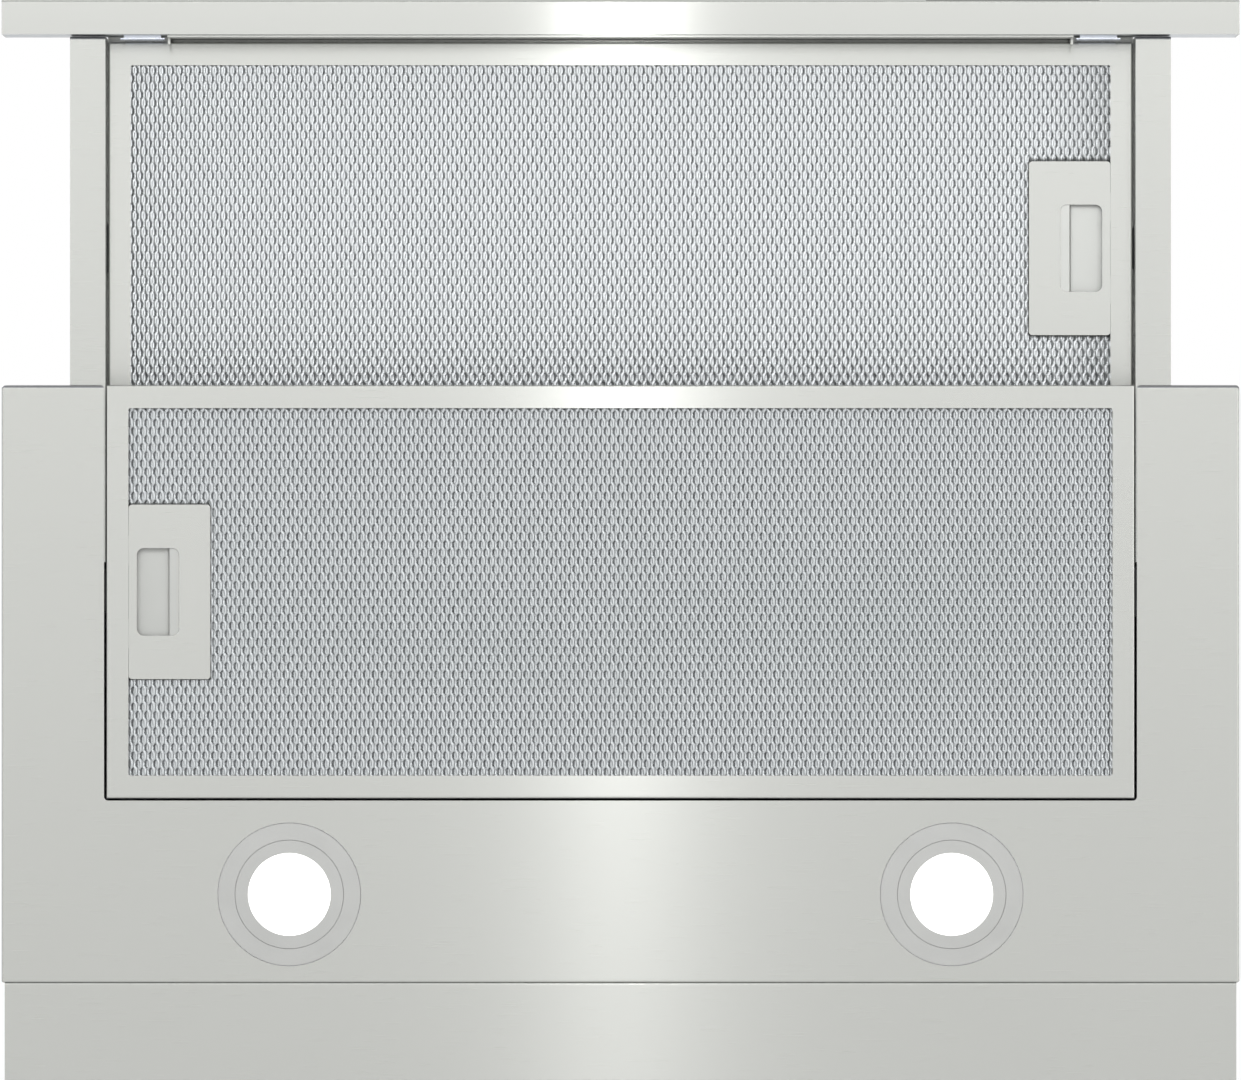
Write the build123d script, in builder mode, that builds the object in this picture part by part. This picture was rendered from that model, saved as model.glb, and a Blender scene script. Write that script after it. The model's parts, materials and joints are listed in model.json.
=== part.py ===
from build123d import *
import math
import os

# A telescopic range hood with its filter drawer pulled out, in millimetres.
# +Z is up and -Y is the front. The origin is the middle of the base tray, on the plane where
# the tray's top flange meets the cabinet. Left and right are as seen from above the front.

# Base tray
base_width = 598.0
base_height = 41.0
side_box = 50.5
lamp_strip = 87.9
sheet = 0.8
front_bend = 1.8
side_bend = 1.0
opening_corner = 2.0
flange_lip = 10.0
filter_gap = 1.0

# Upper casing, which goes up inside the cabinet
seat_flange = 36.0
casing_margin = 8.3
casing_sheet = 1.0
casing_flange = 12.0
skirt_rise = 4.5
panel_gap = 0.8

# Grease filters: two alike, the rear one flush in the tray, the front one in the drawer
filter_depth = 199.7
filter_thick = 8.6
filter_drop = 14.5
filter_overlap = 33.1
window_end = 10.8
window_edge = 11.1
window_corner = 1.0
filter_rim = 9.0
mesh_play = 0.2
mesh_sheet = 0.5
mesh_layers = 3
handle_seam = 0.12
handle_width = 39.4
handle_length = 84.3
handle_corner = 1.6
foot_length = 14.0
foot_reach = 6.0
recess_width = 20.5
recess_length = 42.3
recess_corner = 3.4
recess_inset = 3.9
tab_width = 5.2
tab_edge = 1.0
tab_under = 2.4
latch_floor = 5.4
latch_side = 1.5
latch_step = 2.3
bolt_width = 20.0
bolt_reach = 4.0
bolt_play = 1.0
tongue_width = 24.0
tongue_reach = 3.8
tongue_root = 8.0
tongue_thick = 0.7
spring_wire = 0.5
spring_width = 2.5
spring_reach = 16.0

# Drawer
closed_gap = 2.0
fascia_to_filter = 2.9
rail_gap = 0.5
rail_sheet = 1.0
rail_floor = 17.0
rail_lip = 2.0
rail_flange = 10.0
rail_setback = 1.0
rail_top = 2.0
rail_front_top = 10.0
bar_web = 1.2
bar_end_room = 30.0
bar_flange = 14.0
bar_ear = 4.4
bar_rise = 1.0
bracket_inset = 17.7
bracket_width = 18.0
bracket_plate = 1.4
bracket_lip = 1.2
bracket_lip_width = 21.3

# Fascia and its push buttons
fascia_depth = 16.5
fascia_bend = 1.0
button_names = ("button_light", "button_speed_one", "button_speed_two", "button_speed_three")
button_pitch = 19.0
button_inset = 109.0
button_width = 14.0
button_height = 7.5
button_corner = 1.0
button_play = 0.4
button_stroke = 1.0
button_proud = 1.2
button_stem = 4.2
button_collar = 2.0
bezel_end = 6.5
bezel_edge = 3.75
bezel_proud = 0.9
bezel_margin = 3.0
bezel_corner = 3.0
bezel_back = 2.0
board_sheet = 1.6

# Ball slides
slide_length = 250.0
slide_setback = 4.0
slide_height = 20.0
slide_rise = 6.0
slide_sheet = 1.2
slide_reach = 9.4
inner_height = 12.0
inner_reach = 7.6
ball_radius = 1.3
ball_pitch = 18.0
ball_count = 4
ball_play = 0.15
cage_length = 72.0
cage_sheet = 0.8
cage_gap = 1.2
slide_screw_inset = 20.0

# Microswitch that senses the shut drawer
switch_depth = 19.0
switch_width = 9.0
switch_height = 10.0
switch_rise = 1.0
switch_gap = 0.5
plunger_radius = 1.5
plunger_length = 6.5
plunger_proud = 3.5
switch_tab = 10.0

# Lamps
lamp_x = 160.0
lamp_inset = 42.6
lamp_bezel_radius = 34.4
lamp_seam = 0.3
lamp_trim_radius = 26.1
lamp_lens_radius = 19.9
lamp_ring = 1.2
lamp_height = 25.0
lamp_rim = 4.0
lamp_wall = 1.5
lamp_shoulder = 8.0
lamp_ear_reach = 8.0
led_board_radius = 21.0
led_board_level = 8.0
led_circle = 12.0
led_size = 3.0
led_count = 6

# Filler strip behind the base
filler_depth = 47.9
filler_end = 1.5
filler_flange = 16.0
filler_screw_inset = 79.0

# Outlet
outlet_y = 0.0
spigot_radius = 75.0
spigot_wall = 2.0
spigot_height = 60.0
collar_flange = 20.0
flap_level = 14.0
flap_sheet = 1.0
flap_gap = 1.5
pin_radius = 1.5
pin_play = 0.05
knuckle_radius = 3.2
knuckle_length = 16.0
knuckle_pitch = 22.0

# Blower
blower_rise = 6.0
fan_radius = 56.0
fan_ring = 4.0
fan_sheet = 2.0
hub_radius = 9.0
hub_half = 10.0
blade_count = 32
blade_depth = 9.0
blade_sheet = 0.9
blade_angle = 28
scroll_wall = 2.0
scroll_gap = 9.0
scroll_growth = (5.0, 8.0)
plenum_play = 1.0
plenum_height = 18.0
throat_inset = 22.0
inlet_overlap = 6.0
inlet_lip = 14.0
inlet_gap = 4.0
boss_radius = 4.5
boss_length = 12.0
shaft_radius = 4.0
shaft_play = 0.03
motor_air_gap = 11.0
motor_gap = 4.0
motor_inset = 12.0
motor_wall = 1.5
bearing_radius = 10.0
bearing_length = 8.5
stator_bore = 18.0
rotor_gap = 0.6
core_length = 26.0
bracket_sheet = 3.0
bracket_hub = 26.0
arm_overlap = 16.0
arm_width = 14.0
arm_turns = (90, 210, 330)

# Electrics under the lid
box_inset_x, box_inset_y = 70.0, 45.0
box_length, box_width, box_depth = 110.0, 62.0, 43.0
box_wall = 2.0
board_drop = 14.0
gland_offset_x, gland_offset_y = -7.0, 9.0
gland_radius = 8.0
gland_bore = 4.2
gland_hex = 11.0
capacitor_inset_x, capacitor_inset_y = 113.0, 66.0
capacitor_radius = 16.0
capacitor_length = 46.0
stud_length = 3.0
driver_inset_x, driver_inset_y = 69.0, 33.0
driver_length, driver_width, driver_height = 88.0, 38.0, 24.0

# Screws
screw_shank = 1.6
screw_head = 3.4
screw_head_height = 2.0
screw_slot = 0.35
screw_play = 0.1
screw_length = 5.0
low_head_height = 1.2
cabinet_hole = 2.25
cabinet_y = 100.0

# Clearance between pieces that move past each other
slip = 0.3

# Levels and places that follow from the sizes
under = -base_height
filter_width = base_width - 2 * side_box
opening_half = filter_width / 2 + filter_gap
opening_depth = filter_depth + filter_gap
base_depth = opening_depth + lamp_strip
base_front = -base_depth / 2
base_rear = base_depth / 2
window_width = filter_width - 2 * window_end
window_depth = filter_depth - 2 * window_edge
filter_step = base_height - filter_drop
casing_width = base_width - 2 * seat_flange
casing_depth = base_depth - 2 * casing_margin
casing_half = casing_width / 2
casing_inner = casing_half - casing_sheet
casing_front_y = -casing_depth / 2
casing_rear_y = casing_depth / 2
cabinet_x = base_width / 2 - seat_flange / 2
lamp_y = base_rear - lamp_inset
drawer_travel = filter_depth - filter_overlap + fascia_to_filter - closed_gap

# The scroll's three radii grow from the fan's, and its plenum takes the outlet
first_radius = fan_radius + scroll_gap
second_radius = first_radius + scroll_growth[0]
third_radius = second_radius + scroll_growth[1]
scroll_half = spigot_radius + plenum_play + scroll_wall
fan_half = scroll_half - inlet_lip - inlet_gap
fan_y = outlet_y + scroll_half - third_radius + first_radius - second_radius
fan_z = blower_rise + second_radius
plenum_floor = fan_z + first_radius + scroll_wall
lid_bottom = plenum_floor + plenum_height
casing_height = lid_bottom + casing_sheet
inlet_radius = fan_radius - inlet_overlap
tongue_level = sheet + slip
tongue_top = tongue_level + tongue_thick
rail_under = under + tongue_top + slip
rail_inner = filter_width / 2 + rail_gap
rail_face = rail_inner + rail_sheet
rail_outer = rail_inner + rail_floor
fascia_rear = base_front - drawer_travel - closed_gap
fascia_front = fascia_rear - fascia_depth
front_filter_y = fascia_rear + fascia_to_filter
rail_front = fascia_rear + rail_setback
bar_top = -rail_top - rail_sheet
bar_half = rail_inner - bar_end_room
bracket_x = rail_inner - bracket_inset
slide_start = casing_front_y + 1
slide_mid = under + slide_rise + slide_height / 2
inner_start = rail_front + slide_setback
rail_end = inner_start + slide_length

# Each filter's own frame: x from its latch to its tongue, and z up from its underside
rear_seat = Plane(origin=(0, base_front + filter_depth / 2, under), x_dir=(1, 0, 0), z_dir=(0, 0, 1))
front_seat = Plane(
    origin=(0, front_filter_y + filter_depth / 2, under + filter_step), x_dir=(-1, 0, 0), z_dir=(0, 0, 1)
)

os.makedirs("parts", exist_ok=True)


def keep(piece, label):
    """Label a finished piece and write it."""
    piece.part.label = label
    export_step(piece.part, f"parts/{label}.step")


def keep_together(pieces, label):
    """Write pieces that touch without being one solid, such as a spot-welded strip, as one node."""
    group = Compound([solid for piece in pieces for solid in piece.part.solids()])
    group.label = label
    export_step(group, f"parts/{label}.step")


def at(x, y, z, normal=(0, 0, 1)):
    """A plane at a point, facing along a normal."""
    return Plane(origin=(x, y, z), z_dir=normal)


def block(x, y, z, mode=Mode.ADD, seat=Plane.XY):
    """A box between two values on each axis, in the frame of a plane."""
    spans = [sorted(pair) for pair in (x, y, z)]
    centre = [(low + high) / 2 for low, high in spans]
    with Locations(seat.location * Location(centre)):
        Box(*[high - low for low, high in spans], mode=mode)


def rod(seat, radius, length, mode=Mode.ADD):
    """A round bar or hole that grows from a plane along its normal."""
    with Locations(seat.offset(length / 2).location):
        Cylinder(radius, abs(length), mode=mode)


def tube(seat, radius, bore, length):
    """A round tube that grows from a plane along its normal."""
    rod(seat, radius, length)
    rod(seat, bore, length, Mode.SUBTRACT)


def screw(seat, shank, head=screw_head_height):
    """A cross-slot screw: its head sits on the plane and its shank goes down into it."""
    rod(seat, screw_head, head)
    rod(seat, screw_shank, -shank)
    arm = screw_head / 2
    for across, along in ((arm, screw_slot), (screw_slot, arm)):
        block((-across, across), (-along, along), (head / 2, head), Mode.SUBTRACT, seat)


def screw_holes(seats, depth):
    """The clearance holes of screws, cut down from their seats."""
    for seat in seats:
        rod(seat, screw_shank + screw_play, -depth, Mode.SUBTRACT)


# Screw seats, each shared by the pieces that its screws join
lid_seats = [
    at(side * (casing_half - casing_flange / 2), end * (casing_rear_y - 40), casing_height)
    for side in (-1, 1)
    for end in (-1, 1)
]
lid_seats += [at(x, casing_front_y + casing_flange / 2, casing_height) for x in (-120, 120)]
collar_half = spigot_radius + collar_flange
collar_screw = collar_half - 11
collar_seats = [
    at(x, outlet_y + y, casing_height + spigot_wall)
    for x in (-collar_screw, collar_screw)
    for y in (-collar_screw, collar_screw)
]
filler_screw = base_width / 2 - filler_screw_inset
filler_seats = [
    at(x, base_rear - sheet, under + filler_flange / 2, (0, -1, 0))
    for x in (-filler_screw, 0, filler_screw)
]
lamp_cup = lamp_bezel_radius + screw_play
lamp_outer = lamp_cup + lamp_wall
lamp_flange = lamp_outer + lamp_rim
lamp_ear = lamp_flange + lamp_ear_reach
lamp_seats = [
    at(side * lamp_x + end * (lamp_ear - 5), lamp_y, under + sheet + lamp_wall)
    for side in (-1, 1)
    for end in (-1, 1)
]
slide_seats = [
    at(side * casing_half, y, slide_mid, (side, 0, 0))
    for side in (-1, 1)
    for y in (slide_start + slide_screw_inset, slide_start + slide_length - slide_screw_inset)
]
rail_seats = [
    at(side * (rail_face + slide_sheet), y, slide_mid, (side, 0, 0))
    for side in (-1, 1)
    for y in (inner_start + slide_screw_inset, rail_end - slide_screw_inset)
]


# Base tray: one bent sheet with the filter opening, two side boxes and the rear wall
inner_half = base_width / 2 - sheet
lip_half = casing_half + sheet
lip_rear = casing_rear_y + sheet
with BuildPart() as base_tray:
    block((-base_width / 2, base_width / 2), (base_front, base_rear), (under, 0))
    fillet(base_tray.edges().filter_by(Axis.Y).group_by(Axis.Z)[0], side_bend)
    fillet(base_tray.edges().filter_by(Axis.X).group_by(Axis.Z)[0].sort_by(Axis.Y)[-1], side_bend)
    fillet(base_tray.edges().filter_by(Axis.X).group_by(Axis.Z)[0].sort_by(Axis.Y)[0], front_bend)
    inside_y = (base_front + sheet, base_rear - sheet)
    block((-inner_half, inner_half), inside_y, (under + sheet, -sheet), Mode.SUBTRACT)
    block((-lip_half, lip_half), (base_front - 1, lip_rear), (-sheet, 1), Mode.SUBTRACT)
    for side in (-1, 1):
        block((side * casing_half, side * lip_half), (casing_front_y, lip_rear), (-flange_lip, 0))
    block((-casing_half, casing_half), (casing_rear_y, lip_rear), (-flange_lip, 0))
    # the drawer rails pass over the low front flange beside the filter opening
    mouth = (-rail_outer - filter_gap, rail_outer + filter_gap)
    block(mouth, (base_front - 1, base_front + 3 * sheet), (rail_under - slip - 0.2, 1), Mode.SUBTRACT)
    with BuildSketch(Plane.XY.offset(under - 1)) as opening:
        with Locations((0, base_front + opening_depth / 2 - 5)):
            Rectangle(2 * opening_half, opening_depth + 10)
        with Locations((0, base_front - 5)):
            Rectangle(2 * opening_half + 20, 10)
        fillet(opening.vertices().group_by(Axis.Y)[-1], opening_corner)
        fillet(opening.vertices().group_by(Axis.Y)[1].sort_by(Axis.X)[1:3], opening_corner)
    extrude(amount=1 + sheet + front_bend, mode=Mode.SUBTRACT)
    for side in (-1, 1):
        rod(at(side * lamp_x, lamp_y, under - 1), lamp_bezel_radius + lamp_seam, 2 + sheet, Mode.SUBTRACT)
        for end in (-1, 1):
            rod(at(side * cabinet_x, end * cabinet_y, 1), cabinet_hole, -2 - sheet, Mode.SUBTRACT)
    screw_holes(filler_seats, 3 * sheet)
keep(base_tray, "base_tray")


# Filler strip that closes the gap between the base and the wall, level with the base's underside
filler_half = base_width / 2 - filler_end
filler_rear = base_rear + filler_depth
filler_top = under + filler_flange
with BuildPart() as rear_filler:
    block((-filler_half, filler_half), (base_rear, filler_rear), (under, filler_top))
    fillet(rear_filler.edges().filter_by(Axis.X).group_by(Axis.Z)[0], side_bend)
    inside_y = (base_rear + sheet, filler_rear - sheet)
    block((-filler_half - 1, filler_half + 1), inside_y, (under + sheet, filler_top + 1), Mode.SUBTRACT)
    screw_holes(filler_seats, 3 * sheet)
keep(rear_filler, "rear_filler")


# Casing: sides and rear in one sheet, whose skirts carry the slides
lid_flange = (lid_bottom - casing_sheet, lid_bottom)
skirt_low = under + skirt_rise
with BuildPart() as casing_body:
    with BuildSketch(Plane.XY.offset(skirt_low)):
        Rectangle(casing_width, casing_depth)
        with Locations((0, -casing_sheet)):
            Rectangle(2 * casing_inner, casing_depth, mode=Mode.SUBTRACT)
    extrude(amount=lid_bottom - skirt_low)
    rear_wall = (casing_rear_y - 2 * casing_sheet, casing_rear_y + 1)
    block((-casing_inner, casing_inner), rear_wall, (skirt_low - 1, -flange_lip), Mode.SUBTRACT)
    flange_front = casing_front_y + casing_flange + slip
    for side in (-1, 1):
        across = (side * casing_inner, side * (casing_inner - casing_flange))
        block(across, (flange_front, casing_rear_y), lid_flange)
    block((-casing_inner, casing_inner), (casing_rear_y - casing_flange, casing_rear_y), lid_flange)
    screw_holes(lid_seats, 3 * casing_sheet)
    screw_holes(slide_seats, 3 * casing_sheet)
keep(casing_body, "casing_body")


with BuildPart() as casing_front:
    flange_y = (casing_front_y, casing_front_y + casing_flange)
    panel_y = (casing_front_y, casing_front_y + casing_sheet)
    block((-casing_inner, casing_inner), panel_y, (panel_gap, lid_bottom))
    for side in (-1, 1):
        block((side * casing_inner, side * (casing_inner - casing_sheet)), flange_y, (panel_gap, lid_bottom))
    block((-casing_inner, casing_inner), flange_y, lid_flange)
    screw_holes(lid_seats, 3 * casing_sheet)
keep(casing_front, "casing_front")


box_x, box_y = box_inset_x - casing_half, casing_rear_y - box_inset_y
gland_x, gland_y = box_x + gland_offset_x, box_y + gland_offset_y
with BuildPart() as casing_top:
    block((-casing_half, casing_half), (casing_front_y, casing_rear_y), (lid_bottom, casing_height))
    fillet(casing_top.edges().filter_by(Axis.Z), casing_sheet)
    rod(at(0, outlet_y, lid_bottom - 1), spigot_radius - spigot_wall, 2 + casing_sheet, Mode.SUBTRACT)
    rod(at(gland_x, gland_y, lid_bottom - 1), gland_radius, 2 + casing_sheet, Mode.SUBTRACT)
    screw_holes(lid_seats, 3 * casing_sheet)
    screw_holes(collar_seats, 3 * spigot_wall)
keep(casing_top, "casing_top")


# Outlet collar with the pin that its two flaps swing on
pin_z = casing_height + flap_level
pin_half = spigot_radius - 0.5
spigot_bore = spigot_radius - spigot_wall
with BuildPart() as outlet_collar:
    with BuildSketch(Plane.XY.offset(casing_height)):
        with Locations((0, outlet_y)):
            RectangleRounded(2 * collar_half, 2 * collar_half, 8)
    extrude(amount=spigot_wall)
    rod(at(0, outlet_y, casing_height), spigot_radius, spigot_wall + spigot_height)
    rod(at(0, outlet_y, casing_height), spigot_bore, spigot_wall + spigot_height + 1, Mode.SUBTRACT)
    rod(at(-pin_half, outlet_y, pin_z, (1, 0, 0)), pin_radius, 2 * pin_half, Mode.SUBTRACT)
    # stops that the shut flaps rest on
    for side in (-1, 1):
        stop = outlet_y + side * (spigot_bore - 4)
        block((-8, 8), (stop, stop + side * 5), (pin_z - 4, pin_z - flap_sheet / 2 - slip))
    screw_holes(collar_seats, 3 * spigot_wall)
keep(outlet_collar, "outlet_collar")


with BuildPart() as flap_pin:
    rod(at(-pin_half, outlet_y, pin_z, (1, 0, 0)), pin_radius, 2 * pin_half)
keep(flap_pin, "flap_pin")


def outlet_flap(side, label):
    """Half of the non-return valve, with knuckles on the pin. Side -1 is the front flap."""
    radius = spigot_bore - flap_gap
    knuckles = [(2 * number - 2.5 + side / 2) * knuckle_pitch for number in range(3)]
    free_edge = knuckle_radius + 2 * slip
    with BuildPart() as flap:
        rod(at(0, outlet_y, pin_z - flap_sheet / 2), radius, flap_sheet)
        cut = (outlet_y - side * (radius + 1), outlet_y + side * free_edge)
        block((-radius - 1, radius + 1), cut, (pin_z - flap_sheet, pin_z + flap_sheet), Mode.SUBTRACT)
        for x in knuckles:
            span = (x, x + knuckle_length)
            web = (outlet_y, outlet_y + side * (free_edge + 1))
            block(span, web, (pin_z - flap_sheet / 2, pin_z + flap_sheet / 2))
            rod(at(x, outlet_y, pin_z, (1, 0, 0)), knuckle_radius, knuckle_length)
        rod(at(-radius, outlet_y, pin_z, (1, 0, 0)), pin_radius + pin_play, 2 * radius, Mode.SUBTRACT)
    keep(flap, label)


outlet_flap(-1, "flap_front")
outlet_flap(1, "flap_rear")


# Blower: a spiral scroll round the fan, and the plenum under the outlet
second_y = fan_y + second_radius - first_radius
third_z = fan_z + third_radius - second_radius
scroll_rear = second_y + third_radius
boss_gap = boss_radius - 1
boss_angle = math.radians(230)
scroll_seats = [
    at(boss_length, fan_y - first_radius - boss_gap, fan_z, (1, 0, 0)),
    at(
        boss_length,
        second_y + (second_radius + boss_gap) * math.cos(boss_angle),
        fan_z + (second_radius + boss_gap) * math.sin(boss_angle),
        (1, 0, 0),
    ),
    at(boss_length, scroll_rear + boss_gap, third_z, (1, 0, 0)),
]

# The fan's frame: x along +Y, y along +Z, and z out along the shaft to the right
axle = Plane(origin=(0, fan_y, fan_z), x_dir=(0, 1, 0), z_dir=(1, 0, 0))
bracket_face = scroll_half + bracket_sheet
arm_reach = inlet_radius + arm_overlap
arm_screw_radius = inlet_radius + arm_overlap / 2
arms = []
for turn in arm_turns:
    along = (0, math.cos(math.radians(turn)), math.sin(math.radians(turn)))
    arms.append(Plane(origin=axle.origin, x_dir=along, z_dir=(1, 0, 0)))
bracket_seats = [at(*arm.from_local_coords((arm_screw_radius, 0, bracket_face)), (1, 0, 0)) for arm in arms]


def scroll_outline(inset):
    """The spiral, the throat and the plenum in the YZ plane, drawn in by a wall."""
    with BuildLine() as spiral:
        CenterArc((fan_y, fan_z), first_radius - inset, 90, 90)
        CenterArc((second_y, fan_z), second_radius - inset, 180, 90)
        CenterArc((second_y, third_z), third_radius - inset, 270, 90)
        rear, top = scroll_rear - inset, fan_z + first_radius - inset
        Polyline((rear, third_z), (rear, top), (fan_y, top))
    make_face(spiral.edges())
    roof = lid_bottom if inset == 0 else lid_bottom + 1
    throat_low, throat_front = fan_z + first_radius / 2, fan_y + throat_inset + inset
    floor = plenum_floor + inset
    with Locations((scroll_rear - scroll_half, (floor + roof) / 2)):
        Rectangle(2 * (scroll_half - inset), roof - floor)
    with Locations(((rear + throat_front) / 2, (throat_low + roof) / 2)):
        Rectangle(rear - throat_front, roof - throat_low)


def scroll_side(side, label):
    """One half of the scroll, with its wall, its inlet and the inlet's lip."""
    face = Plane.YZ.offset(side * scroll_half)
    mouth = Plane(origin=(side * scroll_half, fan_y, fan_z), z_dir=(-side, 0, 0))
    with BuildPart() as scroll:
        with BuildSketch(Plane.YZ):
            scroll_outline(0)
        extrude(amount=side * scroll_half)
        with BuildSketch(Plane.YZ):
            scroll_outline(scroll_wall)
        extrude(amount=side * (scroll_half - scroll_wall), mode=Mode.SUBTRACT)
        rod(mouth, inlet_radius + scroll_wall, inlet_lip)
        rod(mouth, inlet_radius, inlet_lip, Mode.SUBTRACT)
        for seat in scroll_seats:
            rod(at(0, seat.origin.Y, seat.origin.Z, (side, 0, 0)), boss_radius, boss_length)
        screw_holes(scroll_seats, 2 * boss_length)
        screw_holes(bracket_seats, screw_length + 1)
    keep(scroll, label)


scroll_side(-1, "scroll_left")
scroll_side(1, "scroll_right")


# Fan wheel: a hub disc with a cage of blades on each side, held by an end ring
with BuildPart() as fan_disc:
    rod(axle.offset(-fan_sheet / 2), fan_radius, fan_sheet)
    rod(axle.offset(-hub_half), hub_radius, 2 * hub_half)
    rod(axle.offset(-hub_half - 1), shaft_radius, 2 * hub_half + 2, Mode.SUBTRACT)
blade_cages = []
for side in (-1, 1):
    with BuildPart() as blade_cage:
        with BuildSketch(axle.offset(side * fan_sheet / 2)):
            with PolarLocations(fan_radius - blade_depth / 2, blade_count):
                with Locations(Location((0, 0, 0), (0, 0, blade_angle))):
                    Rectangle(blade_depth, blade_sheet)
        extrude(amount=side * (fan_half - fan_sheet / 2))
        with BuildSketch(axle.offset(side * (fan_half - fan_sheet))):
            Circle(fan_radius)
            Circle(fan_radius - fan_ring, mode=Mode.SUBTRACT)
        extrude(amount=side * fan_sheet)
    blade_cages.append(blade_cage)
keep_together([fan_disc, *blade_cages], "fan_wheel")


# Motor inside the right half of the wheel: two cups, the stator, and the rotor on its shaft
motor_radius = fan_radius - blade_depth - motor_air_gap
motor_start = hub_half + motor_gap
motor_end = scroll_half - motor_inset
motor_length = motor_end - motor_start
motor_middle = (motor_start + motor_end) / 2
with BuildPart() as motor_case:
    for start, inward in ((motor_start, 1), (motor_end, -1)):
        cup = axle.offset(start)
        rod(cup, motor_radius, inward * motor_length / 2)
    for start, inward in ((motor_start, 1), (motor_end, -1)):
        cup = axle.offset(start)
        hollow = axle.offset(start + inward * motor_wall)
        rod(hollow, motor_radius - motor_wall, inward * (motor_length / 2 - motor_wall), Mode.SUBTRACT)
        rod(cup, bearing_radius, inward * bearing_length)
        rod(cup, shaft_radius + shaft_play, inward * 2 * bearing_length, Mode.SUBTRACT)
        with BuildSketch(cup):
            with PolarLocations((bearing_radius + motor_radius) / 2, 8):
                SlotOverall(14, 4)
        extrude(amount=inward * 2 * motor_wall, mode=Mode.SUBTRACT)
keep(motor_case, "motor_case")

with BuildPart() as motor_stator:
    tube(axle.offset(motor_middle - core_length / 2), motor_radius - motor_wall, stator_bore, core_length)
    for start, inward in ((motor_middle - core_length / 2, -1), (motor_middle + core_length / 2, 1)):
        tube(axle.offset(start), motor_radius - 4 * motor_wall, stator_bore + motor_wall, inward * 4)
keep(motor_stator, "motor_stator")

with BuildPart() as motor_rotor:
    rod(axle.offset(motor_middle - core_length / 2), stator_bore - rotor_gap, core_length)
    rod(axle.offset(-hub_half), shaft_radius, motor_end - 1 + hub_half)
keep(motor_rotor, "motor_rotor")

with BuildPart() as motor_bracket:
    rod(axle.offset(motor_end), bracket_hub, bracket_face - motor_end)
    for arm in arms:
        block((0, arm_reach), (-arm_width / 2, arm_width / 2), (scroll_half, bracket_face), seat=arm)
    screw_holes(bracket_seats, screw_length)
keep(motor_bracket, "motor_bracket")


# Electrics under the lid
box_roof = lid_bottom - box_wall
board_top = box_roof - board_drop
box_low = lid_bottom - box_depth
with BuildPart() as control_box:
    x_span = (box_x - box_length / 2, box_x + box_length / 2)
    y_span = (box_y - box_width / 2, box_y + box_width / 2)
    block(x_span, y_span, (box_low, lid_bottom))
    inside_x = (x_span[0] + box_wall, x_span[1] - box_wall)
    inside_y = (y_span[0] + box_wall, y_span[1] - box_wall)
    block(inside_x, inside_y, (box_low, box_roof), Mode.SUBTRACT)
    rod(at(gland_x, gland_y, lid_bottom), gland_radius, -2 * box_wall, Mode.SUBTRACT)
    with Locations(Plane(origin=(box_x, box_y, box_roof - board_drop / 2))):
        with GridLocations(box_length - 14, box_width - 14, 2, 2):
            Cylinder(2.5, board_drop)
    # the cover plate below
    block(x_span, y_span, (box_low - box_wall, box_low))
keep(control_box, "control_box")

with BuildPart() as power_board:
    play = box_wall + 1
    board_x = (x_span[0] + play, x_span[1] - play)
    board_y = (y_span[0] + play, y_span[1] - play)
    board_low = board_top - board_sheet
    block(board_x, board_y, (board_low, board_top))
    block((box_x - 42, box_x - 17), (box_y - 16, box_y + 9), (board_low - 18, board_low))
    block((box_x - 7, box_x + 5), (box_y - 19, box_y + 1), (board_low - 12, board_low))
    block((box_x + 13, box_x + 33), (box_y - 11, box_y + 13), (board_low - 15, board_low))
keep(power_board, "power_board")

with BuildPart() as cable_gland:
    gland_top = at(gland_x, gland_y, casing_height)
    with BuildSketch(gland_top):
        RegularPolygon(gland_hex, 6)
    extrude(amount=5)
    rod(gland_top.offset(5), gland_radius + 1, 7)
    rod(gland_top, gland_radius, -11)
    # the nut inside the box
    with BuildSketch(at(gland_x, gland_y, box_roof)):
        RegularPolygon(gland_hex, 6)
    extrude(amount=-4)
    rod(gland_top.offset(13), gland_bore, -26, Mode.SUBTRACT)
keep(cable_gland, "cable_gland")

capacitor_x, capacitor_y = casing_half - capacitor_inset_x, casing_front_y + capacitor_inset_y
with BuildPart() as capacitor:
    can = at(capacitor_x, capacitor_y, lid_bottom - stud_length)
    rod(can, capacitor_radius, -capacitor_length)
    fillet(capacitor.edges().filter_by(GeomType.CIRCLE), 2)
    rod(can, capacitor_radius / 4, stud_length)
keep(capacitor, "capacitor")

driver_x, driver_y = casing_half - driver_inset_x, casing_rear_y - driver_inset_y
with BuildPart() as led_driver:
    driver_x_span = (driver_x - driver_length / 2, driver_x + driver_length / 2)
    driver_y_span = (driver_y - driver_width / 2, driver_y + driver_width / 2)
    block(driver_x_span, driver_y_span, (lid_bottom - driver_height, lid_bottom))
    fillet(led_driver.edges().filter_by(Axis.Z), 3)
keep(led_driver, "led_driver")


# Microswitch beside the right slide, just behind where the shut drawer stops
plunger_tip = rail_end + drawer_travel + switch_gap
switch_front = plunger_tip + plunger_proud
switch_x = casing_inner - switch_width / 2
switch_low = slide_mid + slide_height / 2 + switch_rise
switch_z = switch_low + switch_height / 2
with BuildPart() as microswitch:
    switch_y = (switch_front, switch_front + switch_depth)
    block((casing_inner - switch_width, casing_inner), switch_y, (switch_low, switch_low + switch_height))
    bore = at(switch_x, switch_front, switch_z, (0, 1, 0))
    rod(bore, plunger_radius + pin_play, plunger_length, Mode.SUBTRACT)
keep(microswitch, "microswitch")

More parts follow.
